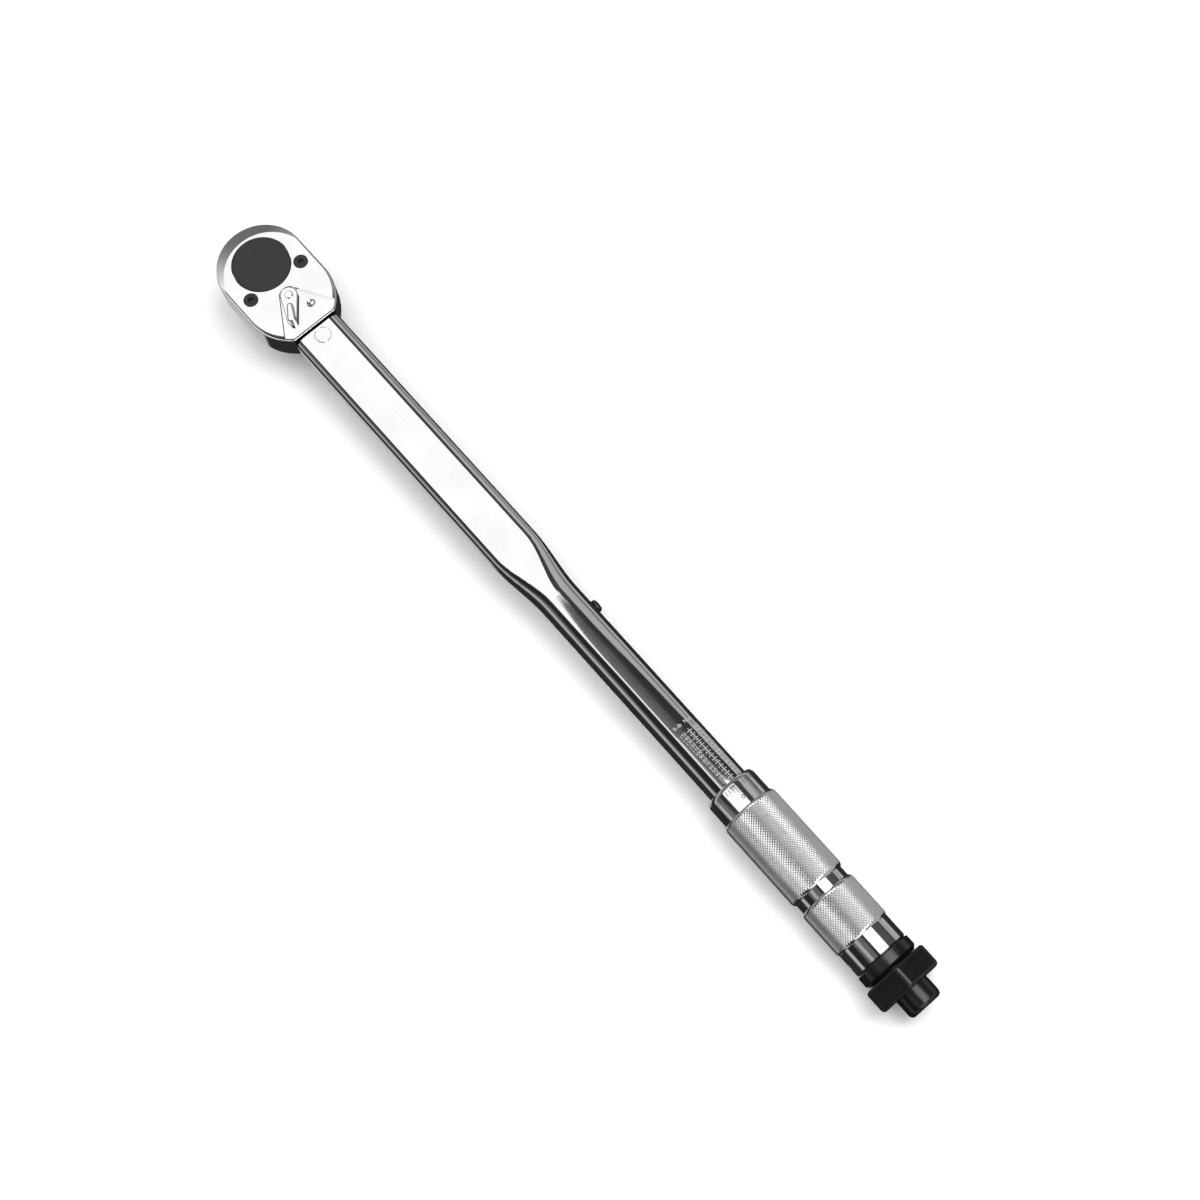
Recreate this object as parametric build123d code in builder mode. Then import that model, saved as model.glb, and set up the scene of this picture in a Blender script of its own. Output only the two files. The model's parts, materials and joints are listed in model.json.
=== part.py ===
"""Click-type torque wrench, 1/2 inch square drive, with a reversible ratchet head.

Millimetres. The origin is the centre of the square drive at the shoulder that a socket
seats against. +X runs along the tube to the lock knob, +Z points out of the cover plate.
"""

from build123d import *
import math
import os

# ---------------------------------------------------------------- driving dimensions
TUBE_AXIS_Z = 10.5          # height of the tube's axis above the socket shoulder
TUBE_DIAMETER = 19.05       # round part of the tube
TUBE_WALL = 1.8
FLAT_WIDTH = 24.2           # flattened front part of the tube
FLAT_HEIGHT = 12.5
FLAT_CORNER = 5.0
TUBE_START = 40.3
FLAT_END = 180.0
ROUND_START = 212.0
TRANSITION_STEPS = 6
TUBE_END = 370.0

HEAD_RADIUS = 21.6
HEAD_BOTTOM = 0.6
HEAD_RIM = 17.5             # the cover plate lies on the rim
HEAD_SHOULDER_X = 19.5      # where the straight sides start to round in
HEAD_END_X = 39.3
HEAD_END_HALF = 11.5
PLATE_INSET = 0.5
PLATE_TOP = 20.5
PLATE_EDGE_ROUND = 0.9
PLATE_LEDGE = 19.0          # floor of the recess that the drive cap turns in
TIP_BEVEL_X = 6.0           # the bevel round the tip is half a cone about this station
TIP_BEVEL_RADIUS = 21.1     # its radius at the plate's top
TIP_BEVEL_SLOPE = 16.0
TIP_BEVEL_WIDTH = 8.0
SCREW_SPOT = (11.0, 14.6)   # cover screws, mirrored about the tube's axis
SCREW_RADIUS = 2.0
SCREW_HEAD_RADIUS = 3.35

SQUARE = 12.7
SQUARE_LENGTH = 15.5
JOURNAL_RADIUS = 9.42
GEAR_RADIUS = 12.6
GEAR_TEETH = 36
GEAR_BOTTOM = 5.0
GEAR_TOP = 17.3
HUB_RADIUS = 10.12
HUB_TOP = 19.1
CAP_RADIUS = 13.7
CAP_TOP = 20.9
POCKET_FLOOR = 4.6
FIT = 0.08                  # radial clearance of every running fit
GAP = 0.3                   # clearance where two pieces only pass each other
EDGE_BREAK = 0.5            # the usual broken edge
THROUGH = 60.0              # a cut deeper than any piece is thick

LEVER_X = 20.8
LEVER_ANGLE = 31.0          # the lever rests this far to the -Y side of the tube's axis
LEVER_FLOOR = 18.9
LEVER_REACH = 12.9
DETENT_REACH = 10.6
CAM_RADIUS = 3.6
PAWL_PIVOT_X = 15.3
PAWL_ROCK = 7.0             # the pawl's tilt to each side
PAWL_HALF_ANGLE = 34.0
PAWL_INNER = 13.8
PAWL_OUTER = 16.8

PIN_X = 45.0
PIN_RADIUS = 4.0
SHANK_HEIGHT = 8.4
SHANK_END = 186.0
SHANK_TIP_WIDTH = 8.4
BLOCK_LENGTH = 9.0
BLOCK_HEIGHT = 8.0
STOP_SCREW_X = 224.3
PLUNGER_NOSE = 195.4
PISTON_START = 213.0
PISTON_END = 230.0
SPRING_START = 231.5
SPRING_END = 326.7
SPRING_WIRE = 2.6
SPRING_OUTER = 14.4
SPRING_TURNS = 18

SEAT_END = 336.0
THRUST_BALL_RADIUS = 2.5
NUT_START = 350.0
ADJUSTER_RADIUS = 4.0
ADJUSTER_END = 430.0
LOCK_BORE = 2.1

HANDLE_START = 322.7
KNURL_START = 335.2
GROOVE_START = 378.5
GROOVE_END = 383.5
KNURL_END = 406.0
RING_END = 417.4
COLLAR_END = 423.9
KNOB_START = 424.2
KNOB_END = 434.9
PLUG_END = 444.3
THIMBLE_RADIUS = 12.3
KNURL_RADIUS = 13.65
GROOVE_RADIUS = 12.4
RING_RADIUS = 13.0
COLLAR_RADIUS = 13.5
KNOB_CORNER_RADIUS = 17.4
PLUG_RADIUS = 8.25
CAP_PIN_X = 412.0

BORE_RADIUS = TUBE_DIAMETER / 2 - TUBE_WALL
BLOCK_FRONT = SHANK_END + 0.2
BLOCK_REAR = BLOCK_FRONT + BLOCK_LENGTH
TUBE_AXIS = Axis((0, 0, TUBE_AXIS_Z), (1, 0, 0))
TUBE_PROFILE = Plane(origin=(0, 0, TUBE_AXIS_Z), x_dir=(1, 0, 0), z_dir=(0, -1, 0))


def across(x):
    """The plane across the tube at station x: its own x is +Y and its own y is +Z."""
    return Plane(origin=(x, 0, TUBE_AXIS_Z), x_dir=(0, 1, 0), z_dir=(1, 0, 0))


def save(part, name):
    """Labels a finished piece and writes it to its own file."""
    part.label = name
    export_step(part, f"parts/{name}.step")


def turned(points):
    """Revolves a closed outline of (x, radius) points about the tube's axis."""
    with BuildSketch(TUBE_PROFILE) as outline:
        with BuildLine():
            Polyline(*points, close=True)
        make_face()
    revolve(outline.sketch, axis=TUBE_AXIS)


def ring(start, end, outer, inner=0.0):
    """A plain turned ring, or a rod where the inner radius is 0."""
    turned([(start, inner), (end, inner), (end, outer), (start, outer)])


def spring(plane, wire, outer, length, turns):
    """A wire coil that starts on the plane and runs along its normal."""
    mean = (outer - wire) / 2
    pitch = (length - wire) / turns
    start = plane.offset(wire / 2)
    with BuildPart() as coil:
        with BuildLine() as line:
            Helix(pitch, pitch * turns, mean, center=start.origin, direction=start.z_dir)
        with BuildSketch(Plane(origin=line.line @ 0, z_dir=line.line % 0)):
            Circle(wire / 2)
        sweep(is_frenet=True)
    return coil.part


def spot(distance, angle):
    """A point at a distance and angle from the lever's axis, in plan."""
    turn = math.radians(angle)
    return (LEVER_X + distance * math.cos(turn), distance * math.sin(turn))


os.makedirs("parts", exist_ok=True)


# ---------------------------------------------------------------- tube and fixed pieces
CORNER_MARGIN = 0.03        # a rounded rectangle keeps this much straight side


def tube_outline(flatness, inset):
    """The tube's outline, from round (flatness 0) to flattened (1), less an inset."""
    width = TUBE_DIAMETER + (FLAT_WIDTH - TUBE_DIAMETER) * flatness
    height = TUBE_DIAMETER + (FLAT_HEIGHT - TUBE_DIAMETER) * flatness
    round_corner = TUBE_DIAMETER / 2 - CORNER_MARGIN
    corner = round_corner + (FLAT_CORNER - round_corner) * flatness
    RectangleRounded(width - 2 * inset, height - 2 * inset, corner - inset)


def tube_solid(inset, mode):
    """The flattened front, the transition and the round rear, as one solid."""
    with BuildSketch(across(TUBE_START)) as front:
        tube_outline(1, inset)
    extrude(front.sketch, amount=FLAT_END - TUBE_START, mode=mode)
    sections = []
    for step in range(TRANSITION_STEPS + 1):
        share = step / TRANSITION_STEPS
        flatness = 1 - share * share * (3 - 2 * share)
        with BuildSketch(across(FLAT_END + (ROUND_START - FLAT_END) * share)) as section:
            tube_outline(flatness, inset)
        sections.append(section.sketch)
    loft(sections, mode=mode)
    with BuildSketch(across(ROUND_START)) as rear:
        tube_outline(0, inset)
    extrude(rear.sketch, amount=TUBE_END - ROUND_START, mode=mode)


NUT_PIN_X = 360.0
NUT_PIN_RADIUS = 1.5

with BuildPart() as body_tube:
    tube_solid(0, Mode.ADD)
    tube_solid(TUBE_WALL, Mode.SUBTRACT)
    with BuildSketch(Plane.XY):
        with Locations((PIN_X, 0)):
            Circle(PIN_RADIUS)
    extrude(amount=THROUGH, mode=Mode.SUBTRACT)
    with BuildSketch(TUBE_PROFILE):
        with Locations((STOP_SCREW_X, 0)):
            Circle(SCREW_RADIUS)
    extrude(amount=-THROUGH, mode=Mode.SUBTRACT)
    with BuildSketch(TUBE_PROFILE):
        with Locations((NUT_PIN_X, 0)):
            Circle(NUT_PIN_RADIUS)
    extrude(amount=THROUGH, both=True, mode=Mode.SUBTRACT)
save(body_tube.part, "body_tube")

PIN_PROUD = 0.15
PIN_HALF = FLAT_HEIGHT / 2 + PIN_PROUD
PIN_CHAMFER = 0.4
with BuildPart() as pivot_pin:
    with BuildSketch(Plane.XY.offset(TUBE_AXIS_Z - PIN_HALF)):
        with Locations((PIN_X, 0)):
            Circle(PIN_RADIUS)
    extrude(amount=2 * PIN_HALF)
    chamfer(pivot_pin.edges().filter_by(GeomType.CIRCLE), length=PIN_CHAMFER)
save(pivot_pin.part, "pivot_pin")

STOP_HEAD_RADIUS = 3.05
STOP_HEAD_HEIGHT = 1.9
STOP_HEAD_ROUND = 1.2
STOP_HEAD_SEAT = TUBE_DIAMETER / 2 + 0.02
STOP_SOCKET_DEPTH = 1.4
STOP_TIP_Y = 6.2
SOCKET_ACROSS = 2.5
with BuildPart() as stop_screw:
    with BuildSketch(Plane.XZ.offset(-STOP_TIP_Y)):
        with Locations((STOP_SCREW_X, TUBE_AXIS_Z)):
            Circle(SCREW_RADIUS)
    extrude(amount=-(STOP_HEAD_SEAT + STOP_HEAD_HEIGHT / 2 - STOP_TIP_Y))
    with BuildSketch(Plane.XZ.offset(-STOP_HEAD_SEAT)):
        with Locations((STOP_SCREW_X, TUBE_AXIS_Z)):
            Circle(STOP_HEAD_RADIUS)
    extrude(amount=-STOP_HEAD_HEIGHT)
    fillet(stop_screw.edges().group_by(Axis.Y)[-1], radius=STOP_HEAD_ROUND)
    with BuildSketch(Plane.XZ.offset(-STOP_HEAD_SEAT - STOP_HEAD_HEIGHT)):
        with Locations((STOP_SCREW_X, TUBE_AXIS_Z)):
            RegularPolygon(SOCKET_ACROSS / 2, 6, major_radius=False)
    extrude(amount=STOP_SOCKET_DEPTH, mode=Mode.SUBTRACT)
save(stop_screw.part, "stop_screw")

with BuildPart() as adjuster_nut:
    ring(NUT_START, TUBE_END, BORE_RADIUS, ADJUSTER_RADIUS + FIT)
    with BuildSketch(TUBE_PROFILE):
        with Locations((NUT_PIN_X, 0)):
            Circle(NUT_PIN_RADIUS)
    extrude(amount=THROUGH, both=True, mode=Mode.SUBTRACT)
    front_rim = adjuster_nut.edges().filter_by(GeomType.CIRCLE).group_by(Axis.X)[0]
    chamfer(front_rim, length=EDGE_BREAK)
save(adjuster_nut.part, "adjuster_nut")

NUT_PIN_INNER = 4.6
NUT_PIN_OUTER = TUBE_DIAMETER / 2 - 0.3
with BuildPart() as nut_pins:
    for side in (1, -1):
        with BuildSketch(Plane.XZ.offset(-side * NUT_PIN_INNER)):
            with Locations((NUT_PIN_X, TUBE_AXIS_Z)):
                Circle(NUT_PIN_RADIUS)
        extrude(amount=-side * (NUT_PIN_OUTER - NUT_PIN_INNER))
save(nut_pins.part, "nut_pins")


# ---------------------------------------------------------------- ratchet head
def head_outline(inset=0.0):
    """The pear-shaped plan of the head, closed by a flat end at the tube."""
    top = HEAD_RADIUS
    with BuildLine() as outline:
        ThreePointArc((0, top), (-top, 0), (0, -top))
        Line((0, -top), (HEAD_SHOULDER_X, -top))
        TangentArc((HEAD_SHOULDER_X, -top), (HEAD_END_X, -HEAD_END_HALF), tangent=(1, 0))
        Line((HEAD_END_X, -HEAD_END_HALF), (HEAD_END_X, HEAD_END_HALF))
        TangentArc((HEAD_SHOULDER_X, top), (HEAD_END_X, HEAD_END_HALF), tangent=(1, 0))
        Line((HEAD_SHOULDER_X, top), (0, top))
    make_face(outline.edges())
    if inset:
        offset(amount=-inset, mode=Mode.REPLACE)


POCKET_RADIUS = 13.2
PAWL_POCKET_RADIUS = 18.8
PAWL_POCKET_HALF = 40.0
SHANK_FRONT_WIDTH = 15.4
SHANK_TAPER_START = 62.0
SHANK_ROOT_X = HEAD_END_X - 2.0
HEAD_BOTTOM_ROUND = 3.6
SCREW_HOLE_BOTTOM = 8.0

with BuildPart() as ratchet_head:
    with BuildSketch(Plane.XY.offset(HEAD_BOTTOM)):
        head_outline()
    extrude(amount=HEAD_RIM - HEAD_BOTTOM)
    fillet(ratchet_head.edges().group_by(Axis.Z)[0], radius=HEAD_BOTTOM_ROUND)
    fillet(ratchet_head.edges().group_by(Axis.Z)[-1], radius=EDGE_BREAK)
    with BuildSketch(Plane.XY.offset(POCKET_FLOOR)):
        Circle(POCKET_RADIUS)
        with Locations((LEVER_X, 0)):
            Circle(CAM_RADIUS + FIT)
        with BuildLine():
            corner = math.radians(PAWL_POCKET_HALF)
            far = PAWL_POCKET_RADIUS
            Line((0, 0), (far * math.cos(corner), far * math.sin(corner)))
            ThreePointArc(
                (far * math.cos(corner), far * math.sin(corner)),
                (far, 0),
                (far * math.cos(corner), -far * math.sin(corner)),
            )
            Line((far * math.cos(corner), -far * math.sin(corner)), (0, 0))
        make_face()
    extrude(amount=THROUGH, mode=Mode.SUBTRACT)
    with BuildSketch(Plane.XY):
        Circle(JOURNAL_RADIUS + FIT)
    extrude(amount=THROUGH, mode=Mode.SUBTRACT)
    with BuildSketch(Plane.XY.offset(SCREW_HOLE_BOTTOM)):
        with Locations((SCREW_SPOT[0], SCREW_SPOT[1]), (SCREW_SPOT[0], -SCREW_SPOT[1])):
            Circle(SCREW_RADIUS)
    extrude(amount=THROUGH, mode=Mode.SUBTRACT)
    with BuildSketch(Plane.XY.offset(TUBE_AXIS_Z - SHANK_HEIGHT / 2)):
        with BuildLine():
            Polyline(
                (SHANK_ROOT_X, SHANK_FRONT_WIDTH / 2),
                (SHANK_TAPER_START, SHANK_FRONT_WIDTH / 2),
                (SHANK_END, SHANK_TIP_WIDTH / 2),
                (SHANK_END, -SHANK_TIP_WIDTH / 2),
                (SHANK_TAPER_START, -SHANK_FRONT_WIDTH / 2),
                (SHANK_ROOT_X, -SHANK_FRONT_WIDTH / 2),
                close=True,
            )
        make_face()
        with Locations((PIN_X, 0)):
            Circle(PIN_RADIUS + FIT, mode=Mode.SUBTRACT)
    extrude(amount=SHANK_HEIGHT)
save(ratchet_head.part, "ratchet_head")

FAN_ANGLE = 34.0            # the lever's recess opens this far to each side
FAN_REACH = 22.0
FAN_HUB_RADIUS = 4.6
FAN_END_RADIUS = 3.6
DIMPLE_RADIUS = 3.0
DIMPLE_LIFT = 2.2           # the dimple sphere's centre above the recess floor
HEAD_COUNTERBORE = 1.6
COUNTERBORE_RADIUS = SCREW_HEAD_RADIUS + 0.12

with BuildPart() as cover_plate:
    with BuildSketch(Plane.XY.offset(HEAD_RIM)):
        head_outline(PLATE_INSET)
        Circle(HUB_RADIUS + FIT, mode=Mode.SUBTRACT)
        with Locations((LEVER_X, 0)):
            Circle(CAM_RADIUS + FIT, mode=Mode.SUBTRACT)
    extrude(amount=PLATE_TOP - HEAD_RIM)
    top_edge = cover_plate.faces().sort_by(Axis.Z)[-1].outer_wire().edges()
    fillet(top_edge, radius=PLATE_EDGE_ROUND)
    bevel_profile = Plane(origin=(TIP_BEVEL_X, 0, 0), x_dir=(0, 1, 0), z_dir=(1, 0, 0))
    with BuildSketch(bevel_profile) as bevel:
        with BuildLine():
            outer = TIP_BEVEL_RADIUS + TIP_BEVEL_WIDTH
            fall = TIP_BEVEL_WIDTH * math.tan(math.radians(TIP_BEVEL_SLOPE))
            Polyline(
                (TIP_BEVEL_RADIUS, PLATE_TOP),
                (outer, PLATE_TOP - fall),
                (outer, PLATE_TOP + fall),
                (TIP_BEVEL_RADIUS, PLATE_TOP + fall),
                close=True,
            )
        make_face()
    bevel_axis = Axis((TIP_BEVEL_X, 0, 0), (0, 0, 1))
    revolve(bevel.sketch, axis=bevel_axis, revolution_arc=180, mode=Mode.SUBTRACT)
    with BuildSketch(Plane.XY.offset(PLATE_LEDGE)):
        Circle(CAP_RADIUS + GAP)
    extrude(amount=THROUGH, mode=Mode.SUBTRACT)
    with BuildSketch(Plane.XY.offset(LEVER_FLOOR)):
        with Locations((LEVER_X, 0)):
            Circle(FAN_HUB_RADIUS)
        with Locations(spot(FAN_REACH, FAN_ANGLE), spot(FAN_REACH, -FAN_ANGLE)):
            Circle(FAN_END_RADIUS)
        make_hull()
    extrude(amount=THROUGH, mode=Mode.SUBTRACT)
    for side in (1, -1):
        x, y = spot(DETENT_REACH, side * LEVER_ANGLE)
        with Locations((x, y, LEVER_FLOOR + DIMPLE_LIFT)):
            Sphere(DIMPLE_RADIUS, mode=Mode.SUBTRACT)
        with Locations((SCREW_SPOT[0], side * SCREW_SPOT[1], PLATE_TOP)):
            CounterBoreHole(SCREW_RADIUS, COUNTERBORE_RADIUS, HEAD_COUNTERBORE)
save(cover_plate.part, "cover_plate")

SCREW_TIP_Z = 9.0
SCREW_SOCKET_DEPTH = 1.2
SCREW_HEAD_CHAMFER = 0.25
with BuildPart() as cover_screws:
    for side in (1, -1):
        with BuildSketch(Plane.XY.offset(SCREW_TIP_Z)):
            with Locations((SCREW_SPOT[0], side * SCREW_SPOT[1])):
                Circle(SCREW_RADIUS)
        extrude(amount=PLATE_TOP - HEAD_COUNTERBORE - SCREW_TIP_Z)
        with BuildSketch(Plane.XY.offset(PLATE_TOP - HEAD_COUNTERBORE)):
            with Locations((SCREW_SPOT[0], side * SCREW_SPOT[1])):
                Circle(SCREW_HEAD_RADIUS)
        extrude(amount=HEAD_COUNTERBORE)
        with BuildSketch(Plane.XY.offset(PLATE_TOP - SCREW_SOCKET_DEPTH)):
            with Locations((SCREW_SPOT[0], side * SCREW_SPOT[1])):
                RegularPolygon(SOCKET_ACROSS / 2, 6, major_radius=False)
        extrude(amount=SCREW_SOCKET_DEPTH, mode=Mode.SUBTRACT)
    head_rims = cover_screws.edges().filter_by(GeomType.CIRCLE).group_by(Axis.Z)[-1]
    chamfer(head_rims, length=SCREW_HEAD_CHAMFER)
save(cover_screws.part, "cover_screws")

WASHER_THICKNESS = 0.3
with BuildPart() as thrust_washer:
    with BuildSketch(Plane.XY.offset(POCKET_FLOOR)):
        Circle(GEAR_RADIUS - GAP)
        Circle(JOURNAL_RADIUS + GAP, mode=Mode.SUBTRACT)
    extrude(amount=WASHER_THICKNESS)
save(thrust_washer.part, "thrust_washer")

# ---------------------------------------------------------------- ratchet drive
SQUARE_CORNER = 0.8
SQUARE_CHAMFER = 0.5
TOOTH_DEPTH = 1.1
TOOTH_HALF_GAP = 0.95
TOOTH_OVERRUN = 0.3
STUB_RADIUS = 6.0
STUB_BOTTOM = 14.5
BALL_RADIUS = 2.35
BALL_PROUD = 0.8
BALL_Z = -7.75
BALL_Y = -(SQUARE / 2 + BALL_PROUD - BALL_RADIUS)
BALL_BORE_END_Y = 2.0

with BuildPart() as drive_gear:
    with BuildSketch(Plane.XY.offset(-SQUARE_LENGTH)):
        RectangleRounded(SQUARE, SQUARE, SQUARE_CORNER)
    extrude(amount=SQUARE_LENGTH)
    chamfer(drive_gear.edges().group_by(Axis.Z)[0], length=SQUARE_CHAMFER)
    with BuildSketch(Plane.XY):
        Circle(JOURNAL_RADIUS)
    extrude(amount=GEAR_BOTTOM)
    with BuildSketch(Plane.XY.offset(GEAR_BOTTOM)):
        Circle(GEAR_RADIUS)
        with PolarLocations(GEAR_RADIUS, GEAR_TEETH):
            Polygon(
                (TOOTH_OVERRUN, TOOTH_HALF_GAP),
                (-TOOTH_DEPTH, 0),
                (TOOTH_OVERRUN, -TOOTH_HALF_GAP),
                align=None,
                mode=Mode.SUBTRACT,
            )
    extrude(amount=GEAR_TOP - GEAR_BOTTOM)
    with BuildSketch(Plane.XY.offset(GEAR_TOP)):
        Circle(HUB_RADIUS)
    extrude(amount=HUB_TOP - GEAR_TOP)
    with BuildSketch(Plane.XY.offset(STUB_BOTTOM)):
        Circle(STUB_RADIUS)
    extrude(amount=THROUGH, mode=Mode.SUBTRACT)
    with BuildSketch(Plane.XZ.offset(SQUARE)):
        with Locations((0, BALL_Z)):
            Circle(BALL_RADIUS + FIT)
    extrude(amount=-(SQUARE + BALL_BORE_END_Y), mode=Mode.SUBTRACT)
save(drive_gear.part, "drive_gear")

CAP_CHAMFER = 0.4
CAP_STUB_BOTTOM = STUB_BOTTOM + 0.5
with BuildPart() as drive_cap:
    with BuildSketch(Plane.XY.offset(HUB_TOP)):
        Circle(CAP_RADIUS)
    extrude(amount=CAP_TOP - HUB_TOP)
    chamfer(drive_cap.edges().group_by(Axis.Z)[-1], length=CAP_CHAMFER)
    with BuildSketch(Plane.XY.offset(CAP_STUB_BOTTOM)):
        Circle(STUB_RADIUS)
    extrude(amount=HUB_TOP - CAP_STUB_BOTTOM)
save(drive_cap.part, "drive_cap")

with BuildPart() as socket_ball:
    with Locations((0, BALL_Y, BALL_Z)):
        Sphere(BALL_RADIUS)
save(socket_ball.part, "socket_ball")

BALL_SPRING_PLANE = Plane(origin=(0, BALL_BORE_END_Y, BALL_Z), z_dir=(0, -1, 0))
BALL_SPRING_LENGTH = BALL_BORE_END_Y - (BALL_Y + BALL_RADIUS) - 0.05
BALL_SPRING_WIRE = 0.5
BALL_SPRING_OUTER = 3.4
SMALL_SPRING_TURNS = 4
save(
    spring(
        BALL_SPRING_PLANE,
        BALL_SPRING_WIRE,
        BALL_SPRING_OUTER,
        BALL_SPRING_LENGTH,
        SMALL_SPRING_TURNS,
    ),
    "socket_ball_spring",
)

# ---------------------------------------------------------------- reversing lever and pawl
LEVER_BOTTOM = LEVER_FLOOR + 0.15
LEVER_TOP = 21.0
RIB_TOP = 23.2
HUB_DISC_RADIUS = 4.1
TIP_RADIUS = 2.4
RIB_INNER_REACH = 6.4
RIB_INNER_RADIUS = 1.5
RIB_OUTER_REACH = LEVER_REACH - 0.3
RIB_OUTER_RADIUS = 1.9
RIB_ROUND = 0.9
LEVER_SCREW_RADIUS = 1.0
DETENT_BORE = 1.3
DETENT_BORE_DEPTH = 3.2

with BuildPart() as reversing_lever:
    with BuildSketch(Plane.XY.offset(LEVER_BOTTOM)):
        with Locations((LEVER_X, 0)):
            Circle(HUB_DISC_RADIUS)
        with Locations(spot(LEVER_REACH, -LEVER_ANGLE)):
            Circle(TIP_RADIUS)
        make_hull()
    extrude(amount=LEVER_TOP - LEVER_BOTTOM)
    fillet(reversing_lever.edges().group_by(Axis.Z)[-1], radius=EDGE_BREAK)
    with BuildSketch(Plane.XY.offset(LEVER_TOP - EDGE_BREAK)):
        with Locations(spot(RIB_INNER_REACH, -LEVER_ANGLE)):
            Circle(RIB_INNER_RADIUS)
        with Locations(spot(RIB_OUTER_REACH, -LEVER_ANGLE)):
            Circle(RIB_OUTER_RADIUS)
        make_hull()
    extrude(amount=RIB_TOP - LEVER_TOP + EDGE_BREAK)
    fillet(reversing_lever.edges().group_by(Axis.Z)[-1], radius=RIB_ROUND)
    with BuildSketch(Plane.XY.offset(LEVER_BOTTOM)):
        with Locations((LEVER_X, 0)):
            Circle(LEVER_SCREW_RADIUS)
    extrude(amount=THROUGH, mode=Mode.SUBTRACT)
    with BuildSketch(Plane.XY.offset(LEVER_BOTTOM)):
        with Locations(spot(DETENT_REACH, -LEVER_ANGLE)):
            Circle(DETENT_BORE)
    extrude(amount=DETENT_BORE_DEPTH, mode=Mode.SUBTRACT)
save(reversing_lever.part, "reversing_lever")

LEVER_SCREW_BOTTOM = 14.0
LEVER_SCREW_HEAD_RADIUS = 1.9
LEVER_SCREW_HEAD = 0.7
LEVER_SCREW_ROUND = 0.4
with BuildPart() as lever_screw:
    with BuildSketch(Plane.XY.offset(LEVER_TOP)):
        with Locations((LEVER_X, 0)):
            Circle(LEVER_SCREW_HEAD_RADIUS)
    extrude(amount=LEVER_SCREW_HEAD)
    fillet(lever_screw.edges().group_by(Axis.Z)[-1], radius=LEVER_SCREW_ROUND)
    with BuildSketch(Plane.XY.offset(LEVER_SCREW_BOTTOM)):
        with Locations((LEVER_X, 0)):
            Circle(LEVER_SCREW_RADIUS)
    extrude(amount=LEVER_TOP - LEVER_SCREW_BOTTOM)
save(lever_screw.part, "lever_screw")

PLUNGER_Z = 11.0
PAWL_PLUNGER_RADIUS = 1.3
PAWL_PLUNGER_START = 1.0    # distances from the cam's axis
PAWL_PLUNGER_LENGTH = 2.9
PAWL_PLUNGER_ROUND = 0.9
CAM_BORE_FLOOR = -2.4
CAM_SPRING_FLOOR = -2.35
CAM_SPRING_LENGTH = 3.3
CAM_SPRING_WIRE = 0.4
CAM_SPRING_OUTER = 2.2
CAM_ANGLE = 180.0 - LEVER_ANGLE
CAM_PLANE = Plane(
    origin=(LEVER_X, 0, PLUNGER_Z),
    z_dir=(math.cos(math.radians(CAM_ANGLE)), math.sin(math.radians(CAM_ANGLE)), 0),
)

with BuildPart() as lever_cam:
    with BuildSketch(Plane.XY.offset(GEAR_BOTTOM)):
        with Locations((LEVER_X, 0)):
            Circle(CAM_RADIUS)
    extrude(amount=LEVER_BOTTOM - GEAR_BOTTOM)
    with BuildSketch(Plane.XY.offset(LEVER_SCREW_BOTTOM)):
        with Locations((LEVER_X, 0)):
            Circle(LEVER_SCREW_RADIUS)
    extrude(amount=THROUGH, mode=Mode.SUBTRACT)
    with BuildSketch(CAM_PLANE.offset(CAM_BORE_FLOOR)):
        Circle(PAWL_PLUNGER_RADIUS + FIT)
    extrude(amount=THROUGH, mode=Mode.SUBTRACT)
save(lever_cam.part, "lever_cam")

with BuildPart() as pawl_plunger:
    with BuildSketch(CAM_PLANE.offset(PAWL_PLUNGER_START)):
        Circle(PAWL_PLUNGER_RADIUS)
    extrude(amount=PAWL_PLUNGER_LENGTH)
    fillet(pawl_plunger.faces().sort_by(Axis.X)[0].edges(), radius=PAWL_PLUNGER_ROUND)
save(pawl_plunger.part, "pawl_plunger")
save(
    spring(
        CAM_PLANE.offset(CAM_SPRING_FLOOR),
        CAM_SPRING_WIRE,
        CAM_SPRING_OUTER,
        CAM_SPRING_LENGTH,
        SMALL_SPRING_TURNS,
    ),
    "pawl_plunger_spring",
)

DETENT_BALL_RADIUS = 1.2
DETENT_LIFT = 0.1
DETENT_SPRING_SEAT = LEVER_FLOOR + DETENT_LIFT + 2 * DETENT_BALL_RADIUS + 0.03
DETENT_SPRING_WIRE = 0.22
DETENT_SPRING_OUTER = 1.8
DETENT_SPRING_LENGTH = 0.65
DETENT_SPRING_TURNS = 2
detent_x, detent_y = spot(DETENT_REACH, -LEVER_ANGLE)
with BuildPart() as lever_detent_ball:
    with Locations((detent_x, detent_y, LEVER_FLOOR + DETENT_LIFT + DETENT_BALL_RADIUS)):
        Sphere(DETENT_BALL_RADIUS)
save(lever_detent_ball.part, "lever_detent_ball")

save(
    spring(
        Plane(origin=(detent_x, detent_y, DETENT_SPRING_SEAT), z_dir=(0, 0, 1)),
        DETENT_SPRING_WIRE,
        DETENT_SPRING_OUTER,
        DETENT_SPRING_LENGTH,
        DETENT_SPRING_TURNS,
    ),
    "lever_detent_spring",
)


def pawl_point(radius, angle):
    """A point of the pawl, rocked about its pin to the side it rests on."""
    turn = math.radians(angle)
    rock = math.radians(PAWL_ROCK)
    x = radius * math.cos(turn) - PAWL_PIVOT_X
    y = radius * math.sin(turn)
    return (
        PAWL_PIVOT_X + x * math.cos(rock) - y * math.sin(rock),
        x * math.sin(rock) + y * math.cos(rock),
    )


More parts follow.
